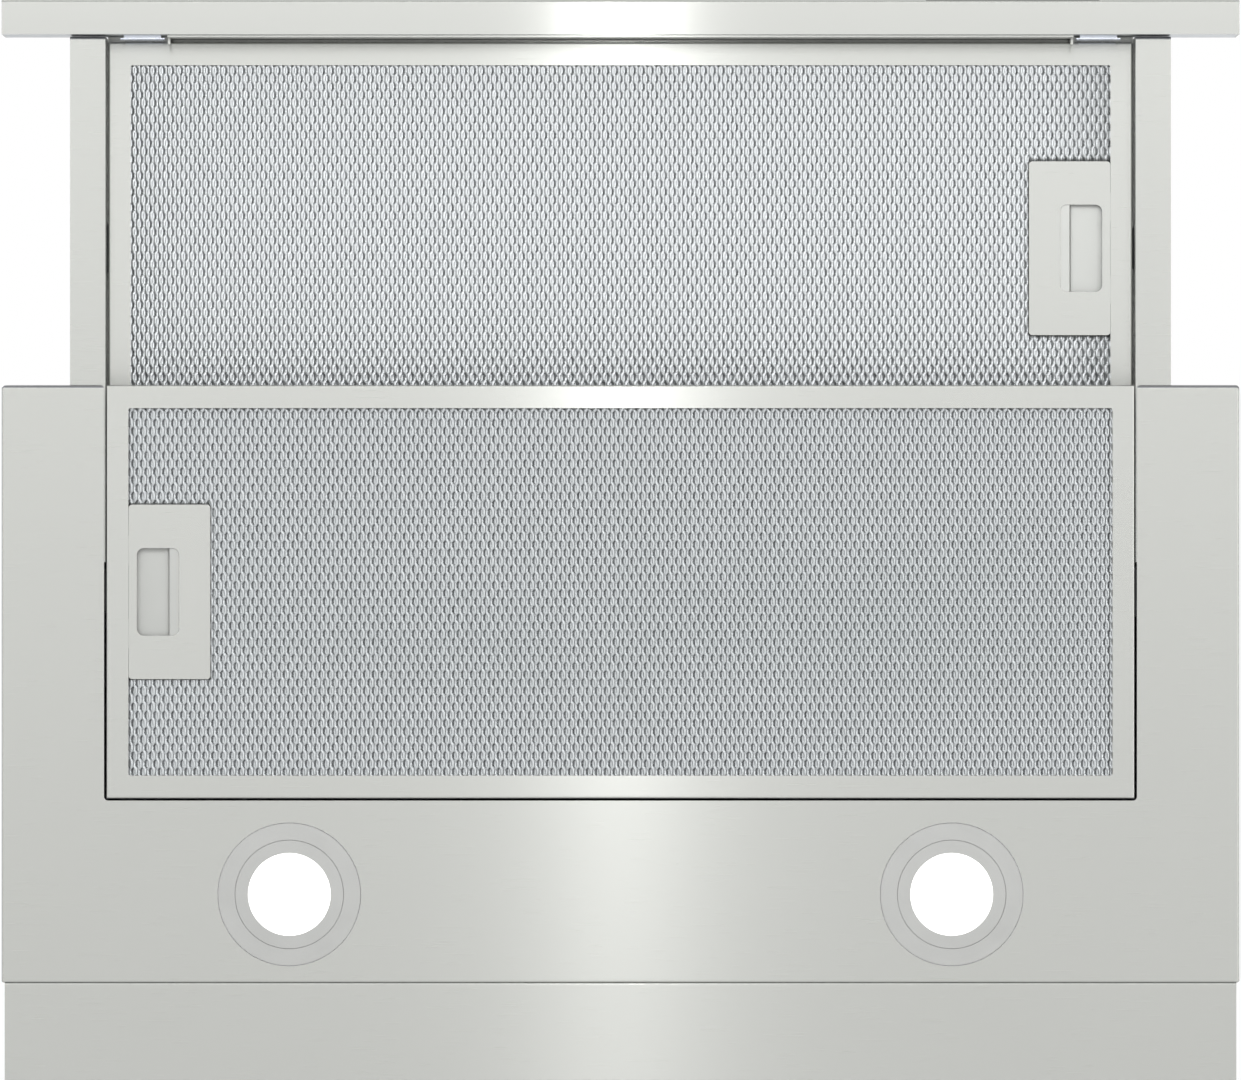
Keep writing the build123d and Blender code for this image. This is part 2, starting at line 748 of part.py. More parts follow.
with BuildPart() as switch_plunger:
    rod(at(switch_x, plunger_tip, switch_z, (0, 1, 0)), plunger_radius, plunger_length)
    fillet(switch_plunger.edges().filter_by(GeomType.CIRCLE).group_by(Axis.Y)[0], plunger_radius / 2)
keep(switch_plunger, "switch_plunger")


# Ball slides, one on each side of the drawer
outer_edge = casing_inner - slide_reach
inner_edge = rail_face + inner_reach
ball_x = (outer_edge + inner_edge) / 2
ball_z = (slide_height / 2 - slide_sheet + inner_height / 2) / 2
cage_middle = (slide_start + rail_end) / 2
ball_ys = [cage_middle + (number - (ball_count - 1) / 2) * ball_pitch for number in range(ball_count)]


def channel(back, reach, height, start, label):
    """A C section with its back against a wall and its two flanges pointing away from it."""
    web = back + math.copysign(slide_sheet, reach - back)
    ends = (start, start + slide_length)
    with BuildPart() as member:
        block((back, web), ends, (slide_mid - height / 2, slide_mid + height / 2))
        for side in (-1, 1):
            edge = slide_mid + side * height / 2
            block((back, reach), ends, (edge, edge - side * slide_sheet))
        screw_holes(slide_seats + rail_seats, 3 * slide_sheet)
    keep(member, label)


def ball_cage(side, label):
    """A cage half-way between the two members, with both of its rows of balls."""
    web = side * (inner_edge + cage_gap)
    web_back = web + side * cage_sheet
    ends = (cage_middle - cage_length / 2, cage_middle + cage_length / 2)
    with BuildPart() as cage:
        block((web, web_back), ends, (slide_mid - ball_z, slide_mid + ball_z))
        for row in (slide_mid - ball_z, slide_mid + ball_z):
            strip = (row - cage_sheet / 2, row + cage_sheet / 2)
            block((side * (outer_edge + cage_sheet), web_back), ends, strip)
            for y in ball_ys:
                hole = at(side * ball_x, y, row - cage_sheet)
                rod(hole, ball_radius + ball_play, 2 * cage_sheet, Mode.SUBTRACT)
                with Locations((side * ball_x, y, row)):
                    Sphere(ball_radius)
    keep(cage, label)


# Drawer rails: a floor that shows from below, a wall and a top flange
def latch_slots(seat):
    """The slots that a filter's bolt and tongue pass through, in the walls beside the filter."""
    half = max(bolt_width, tongue_width) / 2 + bolt_play
    for sign in (-1, 1):
        edge = sign * filter_width / 2
        span = (edge - sign * 2 * sheet, edge + sign * (rail_gap + 2 * rail_sheet))
        block(span, (-half, half), (sheet, tongue_top + slip), Mode.SUBTRACT, seat)


def drawer_rail(side, label):
    """One side rail of the drawer."""
    ends = (rail_front, rail_end)
    floor_x = (side * rail_inner, side * rail_outer)
    wall_x = (side * rail_inner, side * rail_face)
    with BuildPart() as rail:
        block(floor_x, ends, (rail_under, rail_under + rail_sheet))
        block(wall_x, ends, (rail_under, -rail_top))
        block((side * (rail_face - rail_flange), side * rail_face), ends, (bar_top, -rail_top))
        lip_x = (side * (rail_outer - rail_sheet), side * rail_outer)
        block(lip_x, ends, (rail_under, rail_under + rail_lip))
        block(floor_x, (rail_front, rail_front + rail_sheet), (rail_under, -rail_front_top))
        low_front = rail.edges().filter_by(Axis.X).group_by(Axis.Z)[0].sort_by(Axis.Y)[0]
        fillet(low_front, front_bend)
        latch_slots(front_seat)
        if side == 1:
            tab_z = (switch_z - switch_height / 3, switch_z + switch_height / 3)
            block((rail_face, rail_face + switch_tab), (rail_end - rail_sheet, rail_end), tab_z)
        screw_holes(rail_seats, 3 * slide_sheet)
    keep(rail, label)


for side, name in ((-1, "left"), (1, "right")):
    channel(side * casing_inner, side * outer_edge, slide_height, slide_start, f"slide_outer_{name}")
    channel(side * rail_face, side * inner_edge, inner_height, inner_start, f"slide_inner_{name}")
    ball_cage(side, f"slide_cage_{name}")
    drawer_rail(side, f"drawer_rail_{name}")

with BuildPart() as drawer_screws:
    for seat in rail_seats:
        screw(seat, slide_sheet + rail_sheet, low_head_height)
keep(drawer_screws, "drawer_screws")

with BuildPart() as drawer_front_bar:
    web_y = (fascia_rear, fascia_rear + bar_web)
    block((-bar_half, bar_half), web_y, (rail_under + bar_rise, bar_top))
    block((-rail_inner, rail_inner), (fascia_rear, fascia_rear + bar_flange), (bar_top - rail_sheet, bar_top))

# small ears on the web's ends, between the levels of the two filters
with BuildPart() as bar_ears:
    ear_y = (fascia_rear + bar_web, fascia_rear + bar_ear)
    ear_z = (under + filter_thick + 4 * slip, under + filter_step - slip)
    for side in (-1, 1):
        block((side * (bar_half - bar_web), side * bar_half), ear_y, ear_z)
keep_together((drawer_front_bar, bar_ears), "drawer_front_bar")

rear_bar_y = front_filter_y + filter_depth + slip
with BuildPart() as drawer_rear_bar:
    web_low = under + lamp_height + 2.5
    block((-rail_inner, rail_inner), (rear_bar_y, rear_bar_y + rail_sheet), (web_low, bar_top))
    block((-rail_inner, rail_inner), (rear_bar_y, rear_bar_y + bar_flange), (bar_top - rail_sheet, bar_top))
keep(drawer_rear_bar, "drawer_rear_bar")

with BuildPart() as drawer_top_cover:
    block((-rail_face, rail_face), (rail_front, rail_end), (-rail_top, -rail_top + sheet))
keep(drawer_top_cover, "drawer_top_cover")

with BuildPart() as fascia_brackets:
    low, high = under + filter_thick + 2, bar_top - rail_sheet
    plate_rear = fascia_rear + bracket_plate
    for side in (-1, 1):
        centre = side * bracket_x
        plate_x = (centre - bracket_width / 2, centre + bracket_width / 2)
        block(plate_x, (fascia_rear, plate_rear), (low, high))
        lip_start = (centre - bracket_lip_width / 2, plate_rear, low)
        lip = Plane(origin=lip_start, x_dir=(0, 1, 0), z_dir=(1, 0, 0))
        with BuildSketch(lip):
            with BuildLine():
                Line((0, 4), (0, 0))
                Line((0, 0), (bracket_lip / 2, 0))
                ThreePointArc((bracket_lip / 2, 0), (bracket_lip, 1.4), (bracket_lip / 2, 2.8))
                Line((bracket_lip / 2, 2.8), (0, 4))
            make_face()
        extrude(amount=bracket_lip_width)
keep(fascia_brackets, "fascia_brackets")


# Fascia: the bar that the drawer is pulled by
bezel_y = fascia_front - bezel_proud
bezel_width = (len(button_names) - 1) * button_pitch + button_width + 2 * bezel_end
bezel_height = button_height + 2 * bezel_edge
button_centre = base_width / 2 - button_inset
button_z = under / 2
fascia_half = base_width / 2 - sheet
with BuildPart() as fascia_shell:
    block((-base_width / 2, base_width / 2), (fascia_front, fascia_rear), (under, 0))
    fillet(fascia_shell.edges().filter_by(Axis.X).group_by(Axis.Y)[0], fascia_bend)
    hollow_y = (fascia_front + sheet, fascia_rear + 1)
    block((-fascia_half, fascia_half), hollow_y, (under + sheet, -sheet), Mode.SUBTRACT)
    slot_half = bezel_width / 2 - bezel_margin
    slot_rise = bezel_height / 2 - bezel_margin * 2 / 3
    slot_x = (button_centre - slot_half, button_centre + slot_half)
    slot_z = (button_z - slot_rise, button_z + slot_rise)
    block(slot_x, (fascia_front - 1, fascia_front + 2 * sheet), slot_z, Mode.SUBTRACT)
keep(fascia_shell, "fascia_shell")

with BuildPart() as fascia_back:
    block((-fascia_half, fascia_half), (fascia_rear - sheet, fascia_rear), (under + sheet, -sheet))
keep(fascia_back, "fascia_back")

first_button = button_centre - (len(button_names) - 1) / 2 * button_pitch
button_xs = [first_button + number * button_pitch for number in range(len(button_names))]
with BuildPart() as button_bezel:
    bezel_front = Plane(origin=(button_centre, bezel_y, button_z), x_dir=(1, 0, 0), z_dir=(0, 1, 0))
    with BuildSketch(bezel_front):
        RectangleRounded(bezel_width, bezel_height, bezel_corner)
    extrude(amount=bezel_proud)
    with BuildSketch(bezel_front.offset(bezel_proud)):
        Rectangle(2 * slot_half - slip, 2 * slot_rise - slip)
    extrude(amount=bezel_back)
    with BuildSketch(bezel_front):
        with Locations(*[(x - button_centre, 0) for x in button_xs]):
            RectangleRounded(button_width + 2 * button_play, button_height + 2 * button_play, button_corner)
    extrude(amount=bezel_proud + bezel_back, mode=Mode.SUBTRACT)
keep(button_bezel, "button_bezel")

stem_end = fascia_front + button_stem
board_front = stem_end + button_stroke + 2 * slip
with BuildPart() as control_board:
    board_half = bezel_width / 2
    board_z = (button_z - bezel_height / 2, button_z + bezel_height / 2)
    board_y = (board_front, board_front + board_sheet)
    block((button_centre - board_half, button_centre + board_half), board_y, board_z)
    for side in (-1, 1):
        post = button_centre + side * (board_half - 2)
        block((post - 2, post + 2), (board_front, fascia_rear - sheet), (button_z - 4, button_z + 4))
keep(control_board, "control_board")

for name, x in zip(button_names, button_xs):
    with BuildPart() as button:
        face = Plane(origin=(x, bezel_y - button_proud, button_z), x_dir=(1, 0, 0), z_dir=(0, 1, 0))
        with BuildSketch(face):
            RectangleRounded(button_width, button_height, button_corner)
        extrude(amount=stem_end - bezel_y + button_proud)
        fillet(button.edges().group_by(Axis.Y)[0], button_corner / 2)
        collar_x = (x - button_width / 2 - button_collar, x + button_width / 2 + button_collar)
        collar_rise = (button_height + button_collar) / 2
        collar_z = (button_z - collar_rise, button_z + collar_rise)
        block(collar_x, (fascia_front + bezel_back + slip, stem_end), collar_z)
    keep(button, name)


# Grease filters: frame, mesh pack, handle plate, latch and latch spring, each in the filter's frame
edge = filter_width / 2
side_edge = filter_depth / 2
handle_x = handle_seam - window_width / 2
handle_end = handle_x + handle_width
recess_x = handle_x + recess_inset
tab_x = recess_x + recess_width - tab_width
tab_end = tab_x + tab_width + tab_under
latch_x = handle_x + latch_step
latch_half = recess_length / 2 + latch_side
floor_top = tongue_level + latch_floor
bolt_z = (tongue_level, tongue_top)
bolt_half = bolt_width / 2
slot_half = bolt_half + bolt_play


def filter_frame(seat, label):
    """A bent sheet frame with a window and an inner rim above, and the tongue spot-welded in its far end."""
    with BuildPart() as frame:
        block((-edge, edge), (-side_edge, side_edge), (0, filter_thick), seat=seat)
        fillet(frame.faces().sort_by(Axis.Z)[0].edges(), side_bend)
        hollow_x, hollow_y = edge - sheet, side_edge - sheet
        hollow_z = (sheet, filter_thick - sheet)
        block((-hollow_x, hollow_x), (-hollow_y, hollow_y), hollow_z, Mode.SUBTRACT, seat)
        with BuildSketch(seat.offset(-1)):
            RectangleRounded(window_width, window_depth, window_corner)
        extrude(amount=1 + 2 * sheet, mode=Mode.SUBTRACT)
        rim_x, rim_y = edge - filter_rim, side_edge - filter_rim
        above = (filter_thick - 2 * sheet, filter_thick + 1)
        block((-rim_x, rim_x), (-rim_y, rim_y), above, Mode.SUBTRACT, seat)
        latch_slots(seat)
    with BuildPart() as tongue:
        half = tongue_width / 2
        block((edge - tongue_root, edge + tongue_reach), (-half, half), bolt_z, seat=seat)
        block((edge - tongue_root, edge - sheet), (-half, half), (sheet, tongue_level), seat=seat)
    keep_together((frame, tongue), label)


def filter_handle(seat, label):
    """A shallow box flush in the window, with the finger recess cut in its face."""
    with BuildPart() as handle:
        with BuildSketch(seat):
            with Locations((handle_x + handle_width / 2, 0)):
                RectangleRounded(handle_width, handle_length, handle_corner)
        extrude(amount=filter_thick - sheet)
        half = handle_length / 2 - sheet
        hollow_x = (handle_x + sheet, handle_end - sheet)
        block(hollow_x, (-half, half), (sheet, filter_thick - 2 * sheet), Mode.SUBTRACT, seat)
        with BuildSketch(seat.offset(-1)):
            with Locations((recess_x + recess_width / 2, 0)):
                RectangleRounded(recess_width, recess_length, recess_corner)
        extrude(amount=1 + 2 * sheet, mode=Mode.SUBTRACT)
        wall_x = (handle_x - 1, handle_x + 2 * sheet)
        block(wall_x, (-slot_half, slot_half), (sheet, tongue_top + slip), Mode.SUBTRACT, seat)
        # two feet rest on the frame's sheet, on either side of the bolt
        for side in (-1, 1):
            near = side * (slot_half + 2 * bolt_play)
            foot_y = (near, near + side * foot_length)
            block((handle_x - foot_reach, handle_x + sheet), foot_y, (sheet, 2 * sheet), seat=seat)
    keep(handle, label)


def filter_latch(seat, label):
    """The sliding latch: a tab at the recess's edge, the recess's floor, and the bolt."""
    with BuildPart() as latch:
        block((tab_x, tab_end), (-latch_half, latch_half), (tongue_level, floor_top), seat=seat)
        tab_edges = latch.faces().sort_by(Axis.Z)[0].edges().filter_by(Axis.Y)
        fillet(tab_edges, tab_edge)
        floor_z = (floor_top - sheet, floor_top)
        block((latch_x, tab_end), (-latch_half, latch_half), floor_z, seat=seat)
        block((latch_x, latch_x + sheet), (-bolt_half, bolt_half), (tongue_level, floor_top), seat=seat)
        block((-edge - bolt_reach, latch_x + sheet), (-bolt_half, bolt_half), bolt_z, seat=seat)
    keep(latch, label)


def latch_spring(seat, label):
    """A leaf spring between the latch and the far wall of the handle."""
    near = tab_end + spring_wire / 2
    far = handle_end - sheet - spring_wire / 2
    with BuildPart() as spring:
        with BuildSketch(seat.offset(floor_top - spring_width - sheet)):
            with BuildLine():
                flat = spring_width
                Polyline((far, -spring_reach), (near, -flat), (near, flat), (far, spring_reach))
            trace(line_width=spring_wire)
        extrude(amount=spring_width)
    keep(spring, label)


def filter_mesh(seat, label):
    """The mesh layers as plain sheets, cut clear of the handle, the bolt and the tongue."""
    mesh_x, mesh_y = edge - sheet - mesh_play, side_edge - sheet - mesh_play
    lowest = sheet + mesh_play
    highest = filter_thick - sheet - mesh_play - mesh_sheet
    with BuildPart() as mesh:
        for number in range(mesh_layers):
            level = lowest + (highest - lowest) * number / (mesh_layers - 1)
            block((-mesh_x, mesh_x), (-mesh_y, mesh_y), (level, level + mesh_sheet), seat=seat)
        free = handle_length / 2 + slip
        above = (0, filter_thick)
        block((handle_x - foot_reach - slip, handle_end + slip), (-free, free), above, Mode.SUBTRACT, seat)
        block((-edge, handle_x), (-slot_half, slot_half), above, Mode.SUBTRACT, seat)
        half = tongue_width / 2 + bolt_play
        block((edge - tongue_root - slip, edge), (-half, half), (0, tongue_top + slip), Mode.SUBTRACT, seat)
    keep(mesh, label)


for seat, name in ((rear_seat, "rear"), (front_seat, "front")):
    filter_frame(seat, f"{name}_filter_frame")
    filter_handle(seat, f"{name}_filter_handle")
    filter_latch(seat, f"{name}_latch")
    latch_spring(seat, f"{name}_latch_spring")
    filter_mesh(seat, f"{name}_filter_mesh")


# Lamps, let into the rear of the base: housing on the tray, two rings, lens and board of leds
lamps = [at(side * lamp_x, lamp_y, under) for side in (-1, 1)]
lamp_plate = lamp_ring + 1
with BuildPart() as lamp_housings:
    for lamp in lamps:
        with BuildSketch(Plane(origin=lamp.origin, x_dir=(1, 0, 0), z_dir=(0, -1, 0))):
            with BuildLine():
                Polyline(
                    (0, lamp_height),
                    (lamp_outer - lamp_shoulder, lamp_height),
                    (lamp_outer, lamp_height - lamp_shoulder),
                    (lamp_outer, sheet + lamp_wall),
                    (lamp_flange, sheet + lamp_wall),
                    (lamp_flange, sheet),
                    (lamp_cup, sheet),
                    (lamp_cup, lamp_height - lamp_shoulder - lamp_wall / 2),
                    (lamp_outer - lamp_shoulder - lamp_wall / 2, lamp_height - lamp_wall),
                    (0, lamp_height - lamp_wall),
                    close=True,
                )
            make_face()
        revolve(axis=Axis(lamp.origin, (0, 0, 1)))
        rod(lamp.offset(led_board_level + board_sheet), led_board_radius / 2, lamp_height - 10)
        for side in (-1, 1):
            ear = (side * (lamp_flange - lamp_wall), side * lamp_ear)
            block(ear, (-6, 6), (sheet, sheet + lamp_wall), seat=lamp)
    screw_holes(lamp_seats, 3 * lamp_wall)
keep(lamp_housings, "lamp_housings")

with BuildPart() as lamp_bezels:
    for lamp in lamps:
        tube(lamp, lamp_bezel_radius, lamp_trim_radius + lamp_seam, lamp_ring)
        tube(lamp.offset(lamp_ring), lamp_bezel_radius, lamp_lens_radius + 3 + lamp_seam, 1)
        tube(lamp.offset(lamp_plate), lamp_bezel_radius, lamp_bezel_radius - lamp_ring, 7)
keep(lamp_bezels, "lamp_bezels")

with BuildPart() as lamp_trims:
    for lamp in lamps:
        tube(lamp, lamp_trim_radius, lamp_lens_radius + screw_play, lamp_ring)
keep(lamp_trims, "lamp_trims")

with BuildPart() as lamp_lenses:
    for lamp in lamps:
        rod(lamp, lamp_lens_radius, lamp_ring)
        rod(lamp.offset(lamp_ring), lamp_lens_radius + 3, 1)
keep(lamp_lenses, "lamp_lenses")

with BuildPart() as led_boards:
    for lamp in lamps:
        rod(lamp.offset(led_board_level), led_board_radius, board_sheet)
        with Locations(lamp.offset(led_board_level).location):
            with PolarLocations(led_circle, led_count):
                Box(led_size, led_size, 1, align=(Align.CENTER, Align.CENTER, Align.MAX))
keep(led_boards, "led_boards")


# Screws of the fixed body: lid, collar, filler, scroll, motor bracket, lamps and slides
with BuildPart() as housing_screws:
    for seat in lid_seats + collar_seats + bracket_seats:
        screw(seat, screw_length)
    for seat in filler_seats:
        screw(seat, 2 * sheet)
    for seat in scroll_seats:
        screw(seat, 2 * boss_length - 2)
    for seat in lamp_seats:
        screw(seat, lamp_wall)
    for seat in slide_seats:
        screw(seat, casing_sheet + slide_sheet)
keep(housing_screws, "housing_screws")
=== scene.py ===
import json
import math

import bpy
import numpy as np
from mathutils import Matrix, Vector


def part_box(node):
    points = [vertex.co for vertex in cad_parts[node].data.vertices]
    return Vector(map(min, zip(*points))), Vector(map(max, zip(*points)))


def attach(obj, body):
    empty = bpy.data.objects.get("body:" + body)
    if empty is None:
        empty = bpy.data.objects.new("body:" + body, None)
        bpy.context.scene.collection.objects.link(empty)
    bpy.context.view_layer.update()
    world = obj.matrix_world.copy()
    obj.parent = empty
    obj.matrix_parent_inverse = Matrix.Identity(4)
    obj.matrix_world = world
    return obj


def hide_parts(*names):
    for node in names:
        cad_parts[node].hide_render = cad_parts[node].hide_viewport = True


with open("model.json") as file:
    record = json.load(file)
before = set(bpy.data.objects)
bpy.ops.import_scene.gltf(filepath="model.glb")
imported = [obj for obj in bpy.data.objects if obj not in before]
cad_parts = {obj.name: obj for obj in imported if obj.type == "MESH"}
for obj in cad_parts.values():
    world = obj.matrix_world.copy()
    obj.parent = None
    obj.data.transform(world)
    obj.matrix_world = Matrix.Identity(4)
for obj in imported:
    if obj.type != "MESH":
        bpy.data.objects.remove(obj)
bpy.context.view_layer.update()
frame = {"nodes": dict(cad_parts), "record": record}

# A telescopic range hood seen from straight below with its filter drawer pulled out.
# Metres, +Z up, front at -Y, the cabinet seat at z = 0.

nodes = frame["nodes"]
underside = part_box("base_tray")[0].z
print("frame loaded:", len(nodes), "nodes")


# camera

cameraSet = {
    "place": (0.0, -0.0695, underside - 6.3),  # straight below, a little in front of the middle
    "acrossFrame": 0.5995,  # width of the picture at the underside
    "sensor": 36.0,
    "clip": (0.05, 100),
}


def makeCamera(s):
    data = bpy.data.cameras.new("camera")
    data.sensor_width = s["sensor"]
    data.lens = s["sensor"] * (underside - s["place"][2]) / s["acrossFrame"]
    data.clip_start, data.clip_end = s["clip"]
    camera = bpy.data.objects.new("camera", data)
    camera.location = s["place"]
    camera.rotation_euler = (math.pi, 0, 0)  # looks up, with the front at the top of the picture
    bpy.context.scene.collection.objects.link(camera)
    bpy.context.scene.camera = camera


makeCamera(cameraSet)
print("camera placed")


# node helpers for the materials

helperSet = {
    "between": (0.3, 0.7),  # where nearly all of a noise's values lie
    "bumpStrength": 0.5,
}


def newMaterial(name, color, metallic, roughness):
    material = bpy.data.materials.new(name)
    material.use_nodes = True
    shader = material.node_tree.nodes["Principled BSDF"]
    shader.inputs["Base Color"].default_value = (*color, 1)
    shader.inputs["Metallic"].default_value = metallic
    shader.inputs["Roughness"].default_value = roughness
    return material, shader


def addNode(material, kind, **values):
    node = material.node_tree.nodes.new(kind)
    for key, value in values.items():
        setattr(node, key, value)
    return node


def join(material, source, target):
    material.node_tree.links.new(source, target)


def noiseOf(material, scale, detail=2.0, stretch=(1, 1, 1)):
    place = addNode(material, "ShaderNodeTexCoord")
    mapping = addNode(material, "ShaderNodeMapping")
    mapping.inputs["Scale"].default_value = stretch
    noise = addNode(material, "ShaderNodeTexNoise")
    noise.inputs["Scale"].default_value = scale
    noise.inputs["Detail"].default_value = detail
    join(material, place.outputs["Object"], mapping.inputs["Vector"])
    join(material, mapping.outputs["Vector"], noise.inputs["Vector"])
    return noise.outputs["Fac"]


def spread(material, value, low, high):
    ranged = addNode(material, "ShaderNodeMapRange")
    ranged.inputs["From Min"].default_value, ranged.inputs["From Max"].default_value = helperSet["between"]
    ranged.inputs["To Min"].default_value = low
    ranged.inputs["To Max"].default_value = high
    join(material, value, ranged.inputs["Value"])
    return ranged.outputs["Result"]


def shade(material, shader, value, color, amount):
    ramp = addNode(material, "ShaderNodeValToRGB")
    darker, lighter = ramp.color_ramp.elements
    darker.position, lighter.position = helperSet["between"]
    darker.color = (*[c * (1 - amount) for c in color], 1)
    lighter.color = (*[min(1, c * (1 + amount)) for c in color], 1)
    join(material, value, ramp.inputs["Fac"])
    join(material, ramp.outputs["Color"], shader.inputs["Base Color"])


def bump(material, shader, value, height):
    node = addNode(material, "ShaderNodeBump")
    node.inputs["Strength"].default_value = helperSet["bumpStrength"]
    node.inputs["Distance"].default_value = height
    join(material, value, node.inputs["Height"])
    join(material, node.outputs["Normal"], shader.inputs["Normal"])


# materials

steelSet = {
    "color": (0.446, 0.452, 0.431),
    "roughness": 0.27,
    "unevenness": 0.004,  # how far the roughness strays
    "anisotropy": 1.0,
    "grain": (1, 0, 0),  # the sheet was brushed along its length
    "streakStretch": (30, 4000, 4000),
    "cloudScale": 9,
    "clouds": 0.007,
    "aside": (0, 0.01, 0),  # gives a face square to the grain some direction too
}
# painted light: the filters' steel is a slightly lighter copy of the stainless, evening out their tone
# beside the rails
filterLitSteelSet = {**steelSet, "color": (0.455, 0.461, 0.44)}
# painted shade: faces turned to the front get a darker, bluish colour that stands in for the dim
# surroundings they would reflect; from and to are how far the face has turned to the front
frontShadePaintSet = {"from": -0.15, "to": -0.4, "color": (0.235, 0.238, 0.248)}
baseSteelSet = {**steelSet, "paintedShadeFront": frontShadePaintSet}
# painted shade: the rails are a darker copy of the base's steel, offsetting how brightly the lights fall
# on them; they keep the base's painted front shade
railShadedSteelSet = {**baseSteelSet, "color": (0.432, 0.438, 0.418)}
# painted shade: the fascia is a darker copy of the stainless, offsetting the strip light's reflection on
# it; its lower roughness narrows its highlight
fasciaShadedSteelSet = {**steelSet, "color": (0.357, 0.3615, 0.346), "roughness": 0.18}


def takeOver(material, shader, value, s):
    # another color takes over as the value goes on from its first stop to its second
    turn = addNode(material, "ShaderNodeMapRange")
    turn.inputs["From Min"].default_value = s["from"]
    turn.inputs["From Max"].default_value = s["to"]
    blend = addNode(material, "ShaderNodeMix", data_type="RGBA")
    share, plain, other = blend.inputs[0], blend.inputs[6], blend.inputs[7]
    other.default_value = (*s["color"], 1)
    join(material, value, turn.inputs["Value"])
    join(material, turn.outputs["Result"], share)
    join(material, shader.inputs["Base Color"].links[0].from_socket, plain)
    join(material, blend.outputs[2], shader.inputs["Base Color"])


# paints a darker colour on faces by how far their true normal turns to the front: painted shade
def paintFrontShade(material, shader, s):
    face = addNode(material, "ShaderNodeNewGeometry")
    normal = addNode(material, "ShaderNodeSeparateXYZ")
    join(material, face.outputs["True Normal"], normal.inputs["Vector"])
    takeOver(material, shader, normal.outputs["Y"], s)


# painted shade: the bolt's nose and the tongue's end are made near black where they reach past the
# filter's sides, so they read as the shaded gap they sit in
gapShadeSet = {"from": 0.24835, "to": 0.24855, "color": (0.02, 0.02, 0.021)}


def paintGapShade(material, s):
    shader = material.node_tree.nodes["Principled BSDF"]
    place = addNode(material, "ShaderNodeTexCoord")
    parts = addNode(material, "ShaderNodeSeparateXYZ")
    reach = addNode(material, "ShaderNodeMath", operation="ABSOLUTE")
    join(material, place.outputs["Object"], parts.inputs["Vector"])
    join(material, parts.outputs["X"], reach.inputs[0])
    takeOver(material, shader, reach.outputs["Value"], s)
    return material


def brushedSteel(name, s):
    material, shader = newMaterial(name, s["color"], 1.0, s["roughness"])
    shader.inputs["Anisotropic"].default_value = s["anisotropy"]
    streaks = noiseOf(material, 1, 3, s["streakStretch"])
    shade(material, shader, noiseOf(material, s["cloudScale"], 3), s["color"], s["clouds"])
    # painted shade on the faces turned to the front
    if "paintedShadeFront" in s:
        paintFrontShade(material, shader, s["paintedShadeFront"])
    smoother, rougher = s["roughness"] - s["unevenness"], s["roughness"] + s["unevenness"]
    join(material, spread(material, streaks, smoother, rougher), shader.inputs["Roughness"])
    # the highlight spreads square to the grain, in the face's own plane
    grain = addNode(material, "ShaderNodeVectorTransform", vector_type="VECTOR",
                    convert_from="OBJECT", convert_to="WORLD")
    grain.inputs["Vector"].default_value = s["grain"]
    face = addNode(material, "ShaderNodeNewGeometry")
    across = addNode(material, "ShaderNodeVectorMath", operation="CROSS_PRODUCT")
    nudge = addNode(material, "ShaderNodeVectorMath", operation="ADD")
    nudge.inputs[1].default_value = s["aside"]
    join(material, face.outputs["True Normal"], across.inputs[0])
    join(material, grain.outputs["Vector"], across.inputs[1])
    join(material, across.outputs["Vector"], nudge.inputs[0])
    join(material, nudge.outputs["Vector"], shader.inputs["Tangent"])
    return material


metalSet = {
    "cloudScale": 60,
    "clouds": 0.04,
    "unevenness": 0.04,
    "poreScale": 2500,
    "poreDepth": 0.00003,
}


def plainMetal(name, color, roughness, **changes):
    s = {**metalSet, **changes}
    material, shader = newMaterial(name, color, 1.0, roughness)
    clouds = noiseOf(material, s["cloudScale"], 3)
    shade(material, shader, clouds, color, s["clouds"])
    smoother, rougher = roughness - s["unevenness"], roughness + s["unevenness"]
    join(material, spread(material, clouds, smoother, rougher), shader.inputs["Roughness"])
    bump(material, shader, noiseOf(material, s["poreScale"], 2), s["poreDepth"])
    return material


zincSet = {
    "color": (0.5, 0.52, 0.54),
    "roughness": (0.38, 0.46),  # of the smoothest and the roughest crystals
    "crystalScale": 150,
    "shades": 0.035,
}


def galvanised(name, s):
    material, shader = newMaterial(name, s["color"], 1.0, sum(s["roughness"]) / 2)
    place = addNode(material, "ShaderNodeTexCoord")
    crystals = addNode(material, "ShaderNodeTexVoronoi")
    crystals.inputs["Scale"].default_value = s["crystalScale"]
    join(material, place.outputs["Object"], crystals.inputs["Vector"])
    value = addNode(material, "ShaderNodeSeparateColor")
    join(material, crystals.outputs["Color"], value.inputs["Color"])
    shade(material, shader, value.outputs["Red"], s["color"], s["shades"])
    join(material, spread(material, value.outputs["Green"], *s["roughness"]), shader.inputs["Roughness"])
    return material


plasticSet = {"cloudScale": 40, "clouds": 0.05, "grainScale": 1800, "grainDepth": 0.00004}


def plastic(name, color, roughness):
    s = plasticSet
    material, shader = newMaterial(name, color, 0.0, roughness)
    shade(material, shader, noiseOf(material, s["cloudScale"], 3), color, s["clouds"])
    bump(material, shader, noiseOf(material, s["grainScale"], 2), s["grainDepth"])
    return material


boardSet = {
    "color": (0.02, 0.16, 0.06),
    "board": (0.012, 0.12, 0.045, 1),
    "patch": (0.016, 0.15, 0.055, 1),
    "track": (0.05, 0.28, 0.12, 1),
    "trackWidth": 0.04,
    "scale": 160,
    "roughness": 0.4,
}


